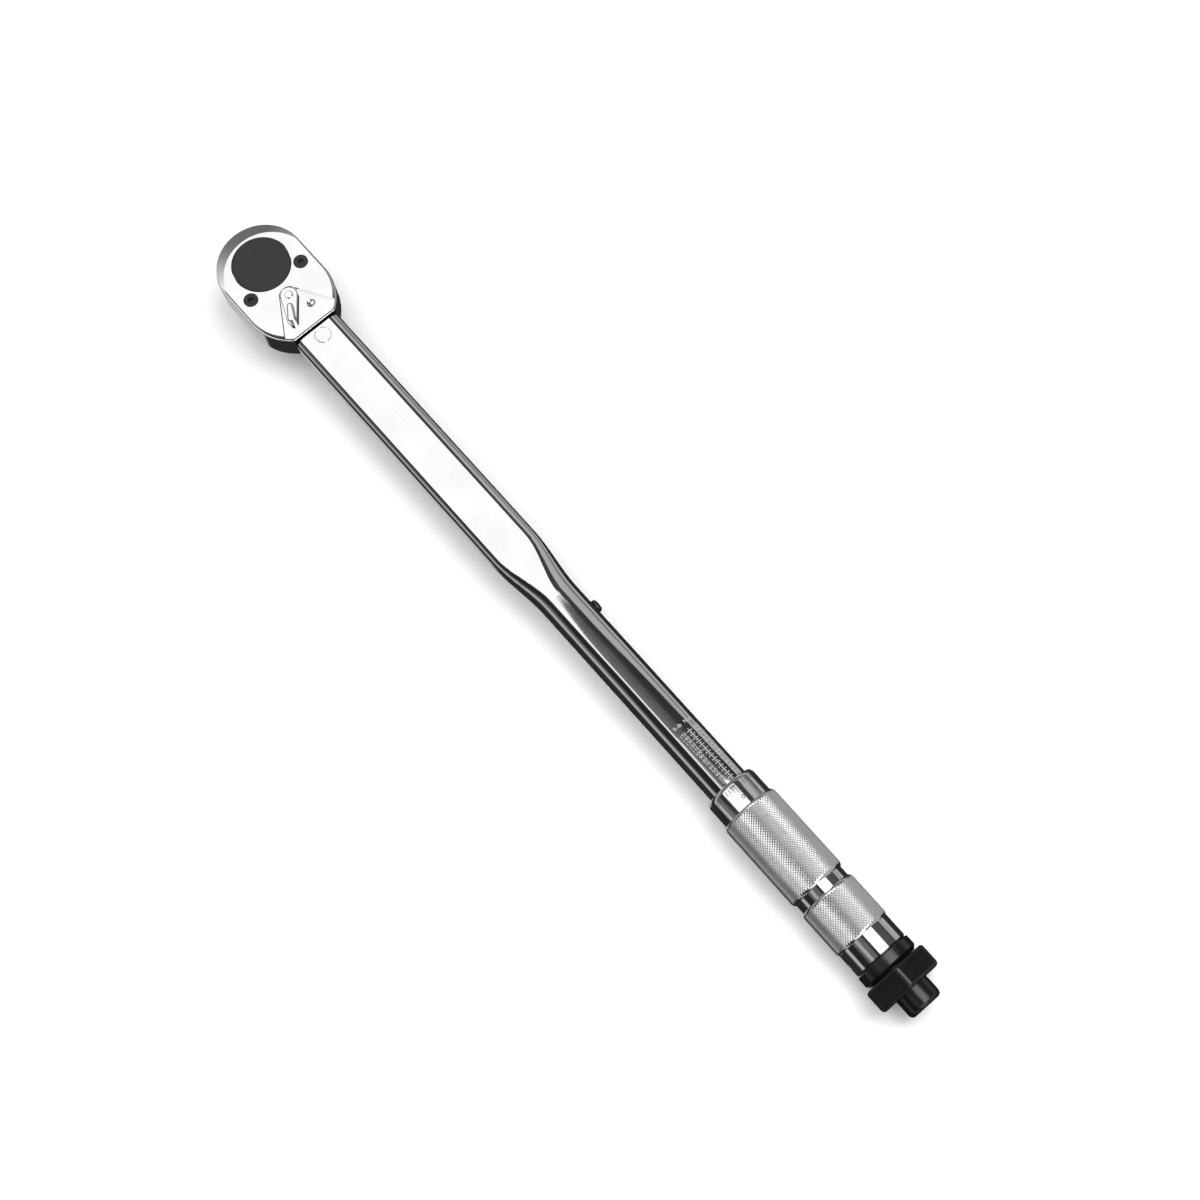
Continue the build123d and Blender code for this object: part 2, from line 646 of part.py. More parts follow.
PAWL_PIN_RADIUS = 1.0
PAWL_TOOTH = 0.45
PAWL_TEETH = 3
PAWL_TOOTH_OVERRUN = 0.3
PAWL_TOOTH_HALF = 3.0       # degrees
PAWL_TOOTH_STEP = 0.8       # in gear pitches
with BuildPart() as pawl:
    with BuildSketch(Plane.XY.offset(GEAR_BOTTOM + GAP)):
        with BuildLine():
            half = PAWL_HALF_ANGLE
            ThreePointArc(
                pawl_point(PAWL_INNER, -half),
                pawl_point(PAWL_INNER, 0),
                pawl_point(PAWL_INNER, half),
            )
            Line(pawl_point(PAWL_INNER, half), pawl_point(PAWL_OUTER, half))
            ThreePointArc(
                pawl_point(PAWL_OUTER, half),
                pawl_point(PAWL_OUTER, 0),
                pawl_point(PAWL_OUTER, -half),
            )
            Line(pawl_point(PAWL_OUTER, -half), pawl_point(PAWL_INNER, -half))
        make_face()
        pitch = 360.0 / GEAR_TEETH
        for side in (1, -1):
            for tooth in range(PAWL_TEETH):
                middle = side * (half - pitch * (0.5 + tooth * PAWL_TOOTH_STEP))
                with BuildLine():
                    Polyline(
                        pawl_point(PAWL_INNER - PAWL_TOOTH_OVERRUN, middle + PAWL_TOOTH_HALF),
                        pawl_point(PAWL_INNER + PAWL_TOOTH, middle),
                        pawl_point(PAWL_INNER - PAWL_TOOTH_OVERRUN, middle - PAWL_TOOTH_HALF),
                        close=True,
                    )
                make_face(mode=Mode.SUBTRACT)
        with Locations((PAWL_PIVOT_X, 0)):
            Circle(PAWL_PIN_RADIUS + FIT, mode=Mode.SUBTRACT)
    extrude(amount=GEAR_TOP - GEAR_BOTTOM - 2 * GAP)
save(pawl.part, "pawl")

with BuildPart() as pawl_pin:
    with BuildSketch(Plane.XY.offset(POCKET_FLOOR)):
        with Locations((PAWL_PIVOT_X, 0)):
            Circle(PAWL_PIN_RADIUS)
    extrude(amount=HEAD_RIM - POCKET_FLOOR)
save(pawl_pin.part, "pawl_pin")

# ---------------------------------------------------------------- click mechanism
BLOCK_CHAMFER = 0.15
with BuildPart() as tilting_block:
    with BuildSketch(across(BLOCK_FRONT)):
        Rectangle(SHANK_TIP_WIDTH, BLOCK_HEIGHT)
    extrude(amount=BLOCK_LENGTH)
    chamfer(tilting_block.edges().filter_by(Axis.Z), length=BLOCK_CHAMFER)
save(tilting_block.part, "tilting_block")

SLOT_START = 219.0
SLOT_END = 227.2
SLOT_FLOOR_Y = 5.8
SLOT_WIDTH = 2 * SCREW_RADIUS + 2 * GAP
NOSE_WIDTH = 9.0
SEAT_CHAMFER = 0.6
SEAT_BORE = 3.0
PILOT_LENGTH = 5.0
with BuildPart() as thrust_plunger:
    ring(PISTON_START, PISTON_END, BORE_RADIUS - FIT)
    chamfer(thrust_plunger.edges().filter_by(GeomType.CIRCLE), length=SEAT_CHAMFER)
    with BuildSketch(across(PLUNGER_NOSE)):
        Rectangle(NOSE_WIDTH, BLOCK_HEIGHT)
    extrude(amount=PISTON_START - PLUNGER_NOSE)
    with BuildSketch(Plane.XZ.offset(-SLOT_FLOOR_Y)):
        with Locations(((SLOT_START + SLOT_END) / 2, TUBE_AXIS_Z)):
            Rectangle(SLOT_END - SLOT_START, SLOT_WIDTH)
    extrude(amount=-THROUGH, mode=Mode.SUBTRACT)
save(thrust_plunger.part, "thrust_plunger")

with BuildPart() as front_spring_seat:
    ring(PISTON_END, SPRING_START, BORE_RADIUS - GAP, SEAT_BORE)
save(front_spring_seat.part, "front_spring_seat")

save(
    spring(
        across(SPRING_START),
        SPRING_WIRE,
        SPRING_OUTER,
        SPRING_END - SPRING_START,
        SPRING_TURNS,
    ),
    "main_spring",
)

# ---------------------------------------------------------------- torque adjuster
THRUST_BALL_X = SEAT_END + 0.5
with BuildPart() as rear_spring_seat:
    ring(SPRING_END + GAP, SEAT_END, BORE_RADIUS - FIT)
    chamfer(rear_spring_seat.edges().filter_by(GeomType.CIRCLE), length=SEAT_CHAMFER)
    ring(SPRING_END - PILOT_LENGTH, SPRING_END + GAP, ADJUSTER_RADIUS)
    with Locations((THRUST_BALL_X, 0, TUBE_AXIS_Z)):
        Sphere(THRUST_BALL_RADIUS, mode=Mode.SUBTRACT)
save(rear_spring_seat.part, "rear_spring_seat")

with BuildPart() as thrust_ball:
    with Locations((THRUST_BALL_X, 0, TUBE_AXIS_Z)):
        Sphere(THRUST_BALL_RADIUS)
save(thrust_ball.part, "thrust_ball")

ADJUSTER_START = THRUST_BALL_X + THRUST_BALL_RADIUS + 0.03
LOCK_BORE_START = 398.0
CAP_PIN_RADIUS = 1.2
with BuildPart() as adjusting_screw:
    ring(ADJUSTER_START, ADJUSTER_END, ADJUSTER_RADIUS)
    chamfer(adjusting_screw.edges().filter_by(GeomType.CIRCLE), length=EDGE_BREAK)
    with BuildSketch(across(LOCK_BORE_START)):
        Circle(LOCK_BORE)
    extrude(amount=ADJUSTER_END - LOCK_BORE_START, mode=Mode.SUBTRACT)
    with BuildSketch(TUBE_PROFILE):
        with Locations((CAP_PIN_X, 0)):
            Circle(CAP_PIN_RADIUS)
    extrude(amount=THROUGH, both=True, mode=Mode.SUBTRACT)
save(adjusting_screw.part, "adjusting_screw")

SPIGOT_START = 400.0
SLEEVE_BORE = TUBE_DIAMETER / 2 + FIT
BEVEL = 0.8
with BuildPart() as handle_sleeve:
    turned([
        (HANDLE_START, SLEEVE_BORE),
        (HANDLE_START, THIMBLE_RADIUS - BEVEL),
        (HANDLE_START + BEVEL, THIMBLE_RADIUS),
        (KNURL_START, THIMBLE_RADIUS),
        (KNURL_START, KNURL_RADIUS - BEVEL),
        (KNURL_START + BEVEL, KNURL_RADIUS),
        (GROOVE_START - BEVEL, KNURL_RADIUS),
        (GROOVE_START, KNURL_RADIUS - BEVEL),
        (GROOVE_START, GROOVE_RADIUS),
        (GROOVE_END, GROOVE_RADIUS),
        (GROOVE_END, KNURL_RADIUS - BEVEL),
        (GROOVE_END + BEVEL, KNURL_RADIUS),
        (KNURL_END - BEVEL, KNURL_RADIUS),
        (KNURL_END, KNURL_RADIUS - BEVEL),
        (KNURL_END, SLEEVE_BORE),
    ])
save(handle_sleeve.part, "handle_sleeve")

with BuildPart() as handle_end_cap:
    turned([
        (SPIGOT_START, ADJUSTER_RADIUS),
        (SPIGOT_START, SLEEVE_BORE),
        (KNURL_END, SLEEVE_BORE),
        (KNURL_END, RING_RADIUS),
        (RING_END - BEVEL, RING_RADIUS),
        (RING_END, RING_RADIUS - BEVEL),
        (RING_END, ADJUSTER_RADIUS),
    ])
    with BuildSketch(TUBE_PROFILE):
        with Locations((CAP_PIN_X, 0)):
            Circle(CAP_PIN_RADIUS)
    extrude(amount=THROUGH, both=True, mode=Mode.SUBTRACT)
save(handle_end_cap.part, "handle_end_cap")

CAP_PIN_INNER = LOCK_BORE + GAP
CAP_PIN_OUTER = RING_RADIUS - 0.25
with BuildPart() as cap_pins:
    for side in (1, -1):
        with BuildSketch(Plane.XZ.offset(-side * CAP_PIN_INNER)):
            with Locations((CAP_PIN_X, TUBE_AXIS_Z)):
                Circle(CAP_PIN_RADIUS)
        extrude(amount=-side * (CAP_PIN_OUTER - CAP_PIN_INNER))
save(cap_pins.part, "cap_pins")

COLLAR_BEVEL = 1.6
with BuildPart() as lock_collar:
    turned([
        (RING_END, ADJUSTER_RADIUS + FIT),
        (RING_END, COLLAR_RADIUS - EDGE_BREAK),
        (RING_END + EDGE_BREAK, COLLAR_RADIUS),
        (COLLAR_END - COLLAR_BEVEL, COLLAR_RADIUS),
        (COLLAR_END, COLLAR_RADIUS - COLLAR_BEVEL),
        (COLLAR_END, ADJUSTER_RADIUS + FIT),
    ])
save(lock_collar.part, "lock_collar")

# ---------------------------------------------------------------- lock
PLUG_SEAT = 431.0
PLUG_SHANK_RADIUS = 6.0
LOCK_PIN_RADIUS = LOCK_BORE - FIT
LOCK_PIN_START = LOCK_BORE_START + 1.0
LOCK_PIN_END = 436.0
KNOB_TILT = 5.5             # the top corner stands this far to the -Y side of +Z
KNOB_CORNER_ROUND = 2.8
KNOB_FRONT_ROUND = 1.4
KNOB_REAR_ROUND = 1.8
PLUG_ROUND = 2.2
PLUG_SOCKET_ACROSS = 5.0
PLUG_SOCKET_DEPTH = 4.0

with BuildPart() as lock_pin:
    ring(LOCK_PIN_START, LOCK_PIN_END, LOCK_PIN_RADIUS)
save(lock_pin.part, "lock_pin")

with BuildPart() as lock_knob:
    with BuildSketch(across(KNOB_START)):
        RegularPolygon(KNOB_CORNER_RADIUS, 6, rotation=90 + KNOB_TILT)
    extrude(amount=KNOB_END - KNOB_START)
    fillet(lock_knob.edges().filter_by(Axis.X), radius=KNOB_CORNER_ROUND)
    fillet(lock_knob.faces().sort_by(Axis.X)[0].edges(), radius=KNOB_FRONT_ROUND)
    fillet(lock_knob.faces().sort_by(Axis.X)[-1].edges(), radius=KNOB_REAR_ROUND)
    with BuildSketch(across(KNOB_START)):
        Circle(ADJUSTER_RADIUS + FIT)
    extrude(amount=KNOB_END - KNOB_START, mode=Mode.SUBTRACT)
    with BuildSketch(across(PLUG_SEAT)):
        Circle(PLUG_SHANK_RADIUS)
    extrude(amount=KNOB_END - PLUG_SEAT, mode=Mode.SUBTRACT)
save(lock_knob.part, "lock_knob")

with BuildPart() as end_plug:
    ring(PLUG_SEAT, KNOB_END, PLUG_SHANK_RADIUS)
    ring(KNOB_END, PLUG_END, PLUG_RADIUS)
    fillet(end_plug.edges().group_by(Axis.X)[-1], radius=PLUG_ROUND)
    with BuildSketch(across(PLUG_SEAT)):
        Circle(LOCK_PIN_RADIUS + FIT)
    extrude(amount=LOCK_PIN_END + 0.1 - PLUG_SEAT, mode=Mode.SUBTRACT)
    with BuildSketch(across(PLUG_END - PLUG_SOCKET_DEPTH)):
        RegularPolygon(PLUG_SOCKET_ACROSS / 2, 6, major_radius=False)
    extrude(amount=PLUG_SOCKET_DEPTH, mode=Mode.SUBTRACT)
save(end_plug.part, "end_plug")
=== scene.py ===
"""Looks of the click-type torque wrench: materials, knurled handle, scales, floor and light."""

import bpy
import json
import math
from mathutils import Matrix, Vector


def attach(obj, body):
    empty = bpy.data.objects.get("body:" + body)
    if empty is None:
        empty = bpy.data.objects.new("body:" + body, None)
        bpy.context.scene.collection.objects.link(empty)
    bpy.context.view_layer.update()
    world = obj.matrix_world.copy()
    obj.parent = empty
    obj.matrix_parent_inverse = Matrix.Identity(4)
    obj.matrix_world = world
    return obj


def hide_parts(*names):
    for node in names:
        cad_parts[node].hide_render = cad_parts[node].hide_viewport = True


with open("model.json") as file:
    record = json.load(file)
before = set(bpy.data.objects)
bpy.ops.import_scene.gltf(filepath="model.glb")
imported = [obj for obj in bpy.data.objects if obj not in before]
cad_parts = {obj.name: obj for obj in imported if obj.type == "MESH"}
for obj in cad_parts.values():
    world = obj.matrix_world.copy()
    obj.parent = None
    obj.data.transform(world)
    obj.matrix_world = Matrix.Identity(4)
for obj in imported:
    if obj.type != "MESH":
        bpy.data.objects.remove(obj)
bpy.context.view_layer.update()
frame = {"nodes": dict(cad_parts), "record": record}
nodes = frame["nodes"]

MM = 0.001
TUBE_AXIS_Z = 10.5
TUBE_RADIUS = 19.05 / 2


def link(obj):
    bpy.context.scene.collection.objects.link(obj)
    return obj


# ---------------------------------------------------------------- materials
class Nodes:
    """A short way to write a node tree."""

    def __init__(self, tree):
        self.tree = tree
        tree.nodes.clear()

    def add(self, kind, inputs=None, **settings):
        node = self.tree.nodes.new(kind)
        for key, value in settings.items():
            setattr(node, key, value)
        for key, value in (inputs or {}).items():
            if isinstance(value, bpy.types.NodeSocket):
                self.tree.links.new(value, node.inputs[key])
            else:
                node.inputs[key].default_value = value
        return node

    def math(self, operation, a, b=None, clamp=False):
        inputs = {0: a} if b is None else {0: a, 1: b}
        return self.add("ShaderNodeMath", inputs, operation=operation, use_clamp=clamp).outputs[0]

    def ramp(self, factor, stops, smooth=False):
        node = self.add("ShaderNodeValToRGB", {"Fac": factor})
        ramp = node.color_ramp
        ramp.interpolation = "EASE" if smooth else "LINEAR"
        while len(ramp.elements) < len(stops):
            ramp.elements.new(0.5)
        for element, (position, level) in zip(ramp.elements, stops):
            element.position = position
            color = level if isinstance(level, tuple) else (level, level, level)
            element.color = (*color, 1.0)
        return node.outputs["Color"]

    def spread(self, value, low, high, to_low, to_high):
        return self.add(
            "ShaderNodeMapRange",
            {0: value, 1: low, 2: high, 3: to_low, 4: to_high},
        ).outputs[0]

    def noise(self, vector, scale, detail=3.0, roughness=0.55):
        inputs = {"Vector": vector, "Scale": scale, "Detail": detail, "Roughness": roughness}
        return self.add("ShaderNodeTexNoise", inputs).outputs["Fac"]


def new_material(name):
    material = bpy.data.materials.new(name)
    material.use_nodes = True
    return material, Nodes(material.node_tree)


def finish_material(n, color, roughness, height, metallic, strength, distance, **extra):
    """Joins a colour, a roughness and a height to a Principled shader."""
    bump = n.add(
        "ShaderNodeBump", {"Height": height, "Strength": strength, "Distance": distance}
    )
    inputs = {
        "Base Color": color,
        "Roughness": roughness,
        "Metallic": metallic,
        "Normal": bump.outputs[0],
    }
    inputs.update({key.replace("_", " "): value for key, value in extra.items()})
    shader = n.add("ShaderNodeBsdfPrincipled", inputs)
    n.add("ShaderNodeOutputMaterial", {"Surface": shader.outputs[0]})


def plated(name, dark, light, rough, stretch, scratch, smudge=0.05):
    """Bright plate or ground steel: soft smudges, and fine lines along a direction."""
    material, n = new_material(name)
    place = n.add("ShaderNodeTexCoord").outputs["Object"]
    cloud = n.noise(place, 55.0, 4.0)
    speck = n.noise(place, 900.0, 2.0)
    lined = n.add("ShaderNodeMapping", {"Vector": place, "Scale": stretch}).outputs[0]
    line = n.noise(lined, 1.0, 2.0, 0.6)
    tone = n.math("ADD", n.math("MULTIPLY", cloud, 0.7), n.math("MULTIPLY", line, 0.3))
    color = n.ramp(tone, [(0.3, dark), (0.7, light)])
    rubbed = n.spread(cloud, 0.4, 0.75, rough, rough + smudge)
    roughness = n.math("ADD", rubbed, n.math("MULTIPLY", speck, smudge * 0.5))
    height = n.math("ADD", line, n.math("MULTIPLY", speck, 0.25))
    finish_material(n, color, roughness, height, 1.0, scratch, 0.00002)
    return material


def moulded(name, dark, light, rough, grain_scale, grain, coat=0.0):
    """Moulded plastic or black oxide: a fine grain, scuffs and small changes of tone."""
    material, n = new_material(name)
    place = n.add("ShaderNodeTexCoord").outputs["Object"]
    cloud = n.noise(place, 70.0, 5.0)
    cell = n.add("ShaderNodeTexVoronoi", {"Vector": place, "Scale": grain_scale}).outputs[0]
    fine = n.noise(place, grain_scale * 1.7, 2.0)
    scuff = n.spread(n.noise(place, 320.0, 6.0, 0.7), 0.58, 0.72, 0.0, 0.12)
    color = n.ramp(cloud, [(0.3, dark), (0.72, light)])
    roughness = n.math("ADD", n.spread(cloud, 0.3, 0.7, rough, rough + 0.08), scuff)
    height = n.math("ADD", cell, n.math("MULTIPLY", fine, 0.6))
    finish_material(
        n, color, roughness, height, 0.0, grain, 0.00004, Coat_Weight=coat, Coat_Roughness=0.12
    )
    return material


CHROME_DARK = (0.80, 0.80, 0.80)
CHROME_LIGHT = (0.90, 0.90, 0.895)
materials = {
    "polished_chrome": plated(
        "chrome_polished", CHROME_DARK, CHROME_LIGHT, 0.045, (90, 2400, 2400), 0.05
    ),
    "satin_chrome": plated(
        "chrome_satin", (0.86, 0.86, 0.855), (0.92, 0.92, 0.915), 0.27, (2200, 900, 900), 0.12, 0.04
    ),
    "black_oxide": moulded(
        "black_oxide_steel", (0.006, 0.006, 0.0065), (0.016, 0.016, 0.0165), 0.34, 2600, 0.1
    ),
    "black_cap": moulded(
        "black_cap_plastic", (0.016, 0.016, 0.0165), (0.023, 0.023, 0.0235), 0.55, 3200, 0.16
    ),
    "black_plastic": moulded(
        "black_gloss_plastic", (0.005, 0.005, 0.0053), (0.009, 0.0088, 0.009), 0.22, 2400, 0.07, 0.25
    ),
    "hardened_steel": plated(
        "steel_ground", (0.36, 0.36, 0.37), (0.50, 0.50, 0.51), 0.24, (300, 3200, 700), 0.3, 0.12
    ),
    "ball_steel": plated(
        "steel_ball", (0.74, 0.74, 0.76), (0.84, 0.84, 0.86), 0.06, (800, 800, 800), 0.04
    ),
    "spring_steel": plated(
        "steel_spring", (0.17, 0.165, 0.165), (0.32, 0.31, 0.30), 0.3, (900, 900, 900), 0.3, 0.15
    ),
    "bronze": plated(
        "bronze_turned", (0.46, 0.27, 0.12), (0.68, 0.44, 0.22), 0.26, (3000, 260, 260), 0.35, 0.1
    ),
}


def etched(name, dark, light):
    """Marks etched into the plate: a frosted floor that scatters light."""
    material, n = new_material(name)
    place = n.add("ShaderNodeTexCoord").outputs["Object"]
    frost = n.noise(place, 5200.0, 3.0)
    blot = n.noise(place, 700.0, 3.0)
    color = n.ramp(blot, [(0.35, dark), (0.7, light)])
    roughness = n.spread(frost, 0.3, 0.7, 0.55, 0.8)
    finish_material(n, color, roughness, frost, 0.3, 0.5, 0.00003)
    return material


materials["etched_frost"] = etched("etched_frost", 0.48, 0.66)
materials["etched_ink"] = etched("etched_ink", 0.03, 0.06)
# near-black steel for the head's shank: painted shade in the gap before the tube
materials["shadowed_steel"] = plated(
    "steel_shadowed", (0.012, 0.012, 0.013), (0.03, 0.03, 0.032), 0.5, (300, 3200, 700), 0.24, 0.1
)

slot_of = {row["node"]: row["material_slot"] for row in frame["record"]["subparts"]}
for name, node in nodes.items():
    node.data.materials.clear()
    node.data.materials.append(materials[slot_of[name]])

# the shank behind the head, seen in the gap before the tube, gets near-black steel: painted shade in
# the gap
HEAD_END = 0.0390
head = nodes["ratchet_head"].data
head.materials.append(materials["shadowed_steel"])
for polygon in head.polygons:
    if min(head.vertices[v].co.x for v in polygon.vertices) > HEAD_END:
        polygon.material_index = 1


# ---------------------------------------------------------------- building in mesh code
def make_mesh(name, points, faces, material, smooth=True):
    mesh = bpy.data.meshes.new(name)
    mesh.from_pydata([tuple(c * MM for c in p) for p in points], [], faces)
    mesh.validate()
    mesh.materials.append(materials[material])
    for polygon in mesh.polygons:
        polygon.use_smooth = smooth
    return link(bpy.data.objects.new(name, mesh))


def around(x, radius, angle):
    """A point on the tube's axis frame: the angle runs from +Z towards +Y, in degrees."""
    turn = math.radians(angle)
    return (x, radius * math.sin(turn), TUBE_AXIS_Z + radius * math.cos(turn))


class Skin:
    """Collects rings of points about the tube's axis and joins them."""

    def __init__(self, count):
        self.count = count
        self.points = []
        self.faces = []
        self.flat = set()

    def ring(self, x, radius):
        start = len(self.points)
        step = 360.0 / self.count
        for i in range(self.count):
            self.points.append(around(x, radius, i * step))
        return start

    def join(self, a, b):
        for i in range(self.count):
            j = (i + 1) % self.count
            self.faces.append((a + i, a + j, b + j, b + i))

    def run(self, outline):
        """Rings through an outline of (x, radius) points, joined in turn."""
        rings = [self.ring(x, radius) for x, radius in outline]
        for a, b in zip(rings, rings[1:]):
            self.join(a, b)
        return rings

    def knurl(self, start, end, peak, depth):
        """Four-sided points in rows: every other grid point is a crest, the rest are grooves."""
        rows = 2 * round((end - start) / (2 * math.pi * peak / self.count) / 2)
        rings = []
        for row in range(rows + 1):
            x = start + (end - start) * row / rows
            base = len(self.points)
            edge = row in (0, rows)
            for i in range(self.count):
                crest = (i + row) % 2 == 1 and not edge
                radius = peak if crest else peak - depth
                self.points.append(around(x, radius, i * 360.0 / self.count))
            rings.append(base)
        for row, (a, b) in enumerate(zip(rings, rings[1:])):
            for i in range(self.count):
                j = (i + 1) % self.count
                first = len(self.faces)
                if (i + row) % 2 == 0:
                    self.faces.append((a + i, a + j, b + j))
                    self.faces.append((a + i, b + j, b + i))
                else:
                    self.faces.append((a + i, a + j, b + i))
                    self.faces.append((a + j, b + j, b + i))
                self.flat.update((first, first + 1))
        return rings[0], rings[-1]


# ---------------------------------------------------------------- knurled handle sleeve
SLEEVE_START, THIMBLE_END = 322.7, 335.2
GROOVE_START, GROOVE_END, SLEEVE_END = 378.5, 383.5, 406.0
THIMBLE, KNURL, GROOVE, BORE = 12.3, 13.65, 12.4, 9.62
KNURL_DEPTH = 0.3
KNURL_COUNT = 120
LEAD = 0.9                  # the bevel at each end of a knurled band

skin = Skin(KNURL_COUNT)
front = skin.run(
    [(SLEEVE_START + 8.0, BORE), (SLEEVE_START, BORE), (SLEEVE_START, THIMBLE - 1.0)]
    + [(SLEEVE_START + 0.15, THIMBLE - 0.75), (SLEEVE_START + 1.5, THIMBLE - 0.12)]
    + [(SLEEVE_START + 1.9, THIMBLE), (THIMBLE_END - 0.25, THIMBLE)]
    + [(THIMBLE_END, THIMBLE + 0.1), (THIMBLE_END, KNURL - LEAD)]
    + [(THIMBLE_END + 0.1, KNURL - LEAD + 0.12), (THIMBLE_END + LEAD, KNURL - KNURL_DEPTH)]
)
first = skin.knurl(THIMBLE_END + LEAD + 0.02, GROOVE_START - LEAD - 0.02, KNURL, KNURL_DEPTH)
middle = skin.run(
    [(GROOVE_START - LEAD, KNURL - KNURL_DEPTH), (GROOVE_START - 0.1, KNURL - LEAD + 0.12)]
    + [(GROOVE_START, KNURL - LEAD), (GROOVE_START, GROOVE + 0.2), (GROOVE_START + 0.2, GROOVE)]
    + [(GROOVE_END - 0.2, GROOVE), (GROOVE_END, GROOVE + 0.2), (GROOVE_END, KNURL - LEAD)]
    + [(GROOVE_END + 0.1, KNURL - LEAD + 0.12), (GROOVE_END + LEAD, KNURL - KNURL_DEPTH)]
)
second = skin.knurl(GROOVE_END + LEAD + 0.02, SLEEVE_END - LEAD - 0.02, KNURL, KNURL_DEPTH)
rear = skin.run(
    [(SLEEVE_END - LEAD, KNURL - KNURL_DEPTH), (SLEEVE_END - 0.1, KNURL - LEAD + 0.12)]
    + [(SLEEVE_END, KNURL - LEAD), (SLEEVE_END, BORE), (SLEEVE_END - 8.0, BORE)]
)
skin.join(front[-1], first[0])
skin.join(first[1], middle[0])
skin.join(middle[-1], second[0])
skin.join(second[1], rear[0])
skin.join(rear[-1], front[0])
sleeve = make_mesh("knurled_sleeve", skin.points, skin.faces, "satin_chrome")
sleeve.data.materials.append(materials["polished_chrome"])
for polygon in sleeve.data.polygons:
    if polygon.index in skin.flat:
        polygon.use_smooth = False
    else:
        polygon.material_index = 1
crease = sleeve.modifiers.new("edges", "EDGE_SPLIT")
crease.split_angle = math.radians(35)
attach(sleeve, "handle")
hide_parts("handle_sleeve")


# ---------------------------------------------------------------- scales
def text_points(words, size):
    """The filled outline of some figures, in millimetres, centred on its own middle."""
    curve = bpy.data.curves.new("figures", "FONT")
    curve.body = words
    curve.size = size
    curve.align_x = "CENTER"
    curve.align_y = "CENTER"
    curve.resolution_u = 3
    holder = link(bpy.data.objects.new("figures", curve))
    bpy.context.view_layer.update()
    mesh = bpy.data.meshes.new_from_object(holder.evaluated_get(bpy.context.evaluated_depsgraph_get()))
    points = [(v.co.x, v.co.y) for v in mesh.vertices]
    faces = [tuple(p.vertices) for p in mesh.polygons]
    bpy.data.objects.remove(holder)
    bpy.data.meshes.remove(mesh)
    bpy.data.curves.remove(curve)
    return points, faces


class Marks:
    """Thin figures and lines that lie on a round surface."""

    def __init__(self, radius):
        self.radius = radius
        self.points = []
        self.faces = []

    def patch(self, x0, x1, angle0, angle1, steps=1):
        rows = []
        for step in range(steps + 1):
            angle = angle0 + (angle1 - angle0) * step / steps
            rows.append(len(self.points))
            self.points.append(around(x0, self.radius, angle))
            self.points.append(around(x1, self.radius, angle))
        for a, b in zip(rows, rows[1:]):
            self.faces.append((a, b, b + 1, a + 1))

    def write(self, words, x, angle, size):
        """Upright figures when the head points up."""
        points, faces = text_points(words, size)
        base = len(self.points)
        per_mm = 180.0 / math.pi / self.radius
        for right, up in points:
            self.points.append(around(x - up, self.radius, angle + right * per_mm))
        self.faces.extend(tuple(base + i for i in face) for face in faces)

    def done(self, name, body, material):
        piece = make_mesh(name, self.points, self.faces, material, smooth=False)
        solid = piece.modifiers.new("depth", "SOLIDIFY")
        solid.thickness = 0.00004
        solid.offset = 0.0
        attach(piece, body)
        return piece


SCALE_STEP = 2.0            # one turn of the handle
SCALE_MIDDLE = 14.0         # the datum line's angle
SCALE_START = SLEEVE_START - 29.4
SCALE_END = SLEEVE_START + 1.0
SCALE_TURNS = 15
BORDER_ANGLE = 36.0
FIGURE_ANGLE = 22.0
FIGURE_SIZE = 2.2
NM_PER_FT_LB = 1.3558
PROUD = 0.03                # the marks' middle above the plated surface
scale = Marks(TUBE_RADIUS + PROUD)
scale.patch(SCALE_START, SCALE_END, SCALE_MIDDLE - 0.7, SCALE_MIDDLE + 0.7)
for side in (-1, 1):
    edge = SCALE_MIDDLE + side * BORDER_ANGLE
    scale.patch(SCALE_START, SCALE_END, edge - 0.5, edge + 0.5)
for turn in range(SCALE_TURNS):
    x = SLEEVE_START - SCALE_STEP * turn
    for side in (-1, 1):
        inner = SCALE_MIDDLE + side * 0.5
        scale.patch(x - 0.16, x + 0.16, inner, inner + side * 8.0, 3)
        half = x + SCALE_STEP / 2
        scale.patch(half - 0.09, half + 0.09, inner, inner + side * 4.5, 2)
    if turn:
        torque = 10 + 10 * turn
        scale.write(str(torque), x, SCALE_MIDDLE - FIGURE_ANGLE, FIGURE_SIZE)
        scale.write(f"{torque * NM_PER_FT_LB:.0f}", x, SCALE_MIDDLE + FIGURE_ANGLE, FIGURE_SIZE)
for side, words in ((-1, "ft-lb"), (1, "N m")):
    scale.write(words, SLEEVE_START - 32.4, SCALE_MIDDLE + side * 18.0, 2.6)
scale.done("torque_scale", "body_tube", "etched_frost")

thimble = Marks(THIMBLE + PROUD)
DIVISIONS = 50
for division in range(DIVISIONS):
    angle = division * 360.0 / DIVISIONS
    length = 4.2 if division % 5 == 0 else 2.4
    start = SLEEVE_START + 2.0
    thimble.patch(start, start + length, angle - 0.55, angle + 0.55)
    if division % 5 == 0:
        thimble.write(str(division // 5), start + 6.6, angle, 3.0)
thimble.done("thimble_scale", "handle", "etched_ink")

# ---------------------------------------------------------------- floor
FLOOR_AT_DRIVE = -0.0157    # metres, just under the square's end face
FLOOR_SLOPE = 8.85 / 430.0  # rises to the lock knob's lowest corner
FLOOR_SPAN = (-14.0, 14.4, -14.2, 14.2)
FLOOR_CELLS = 8


def floor_height(x):
    return FLOOR_AT_DRIVE + FLOOR_SLOPE * x


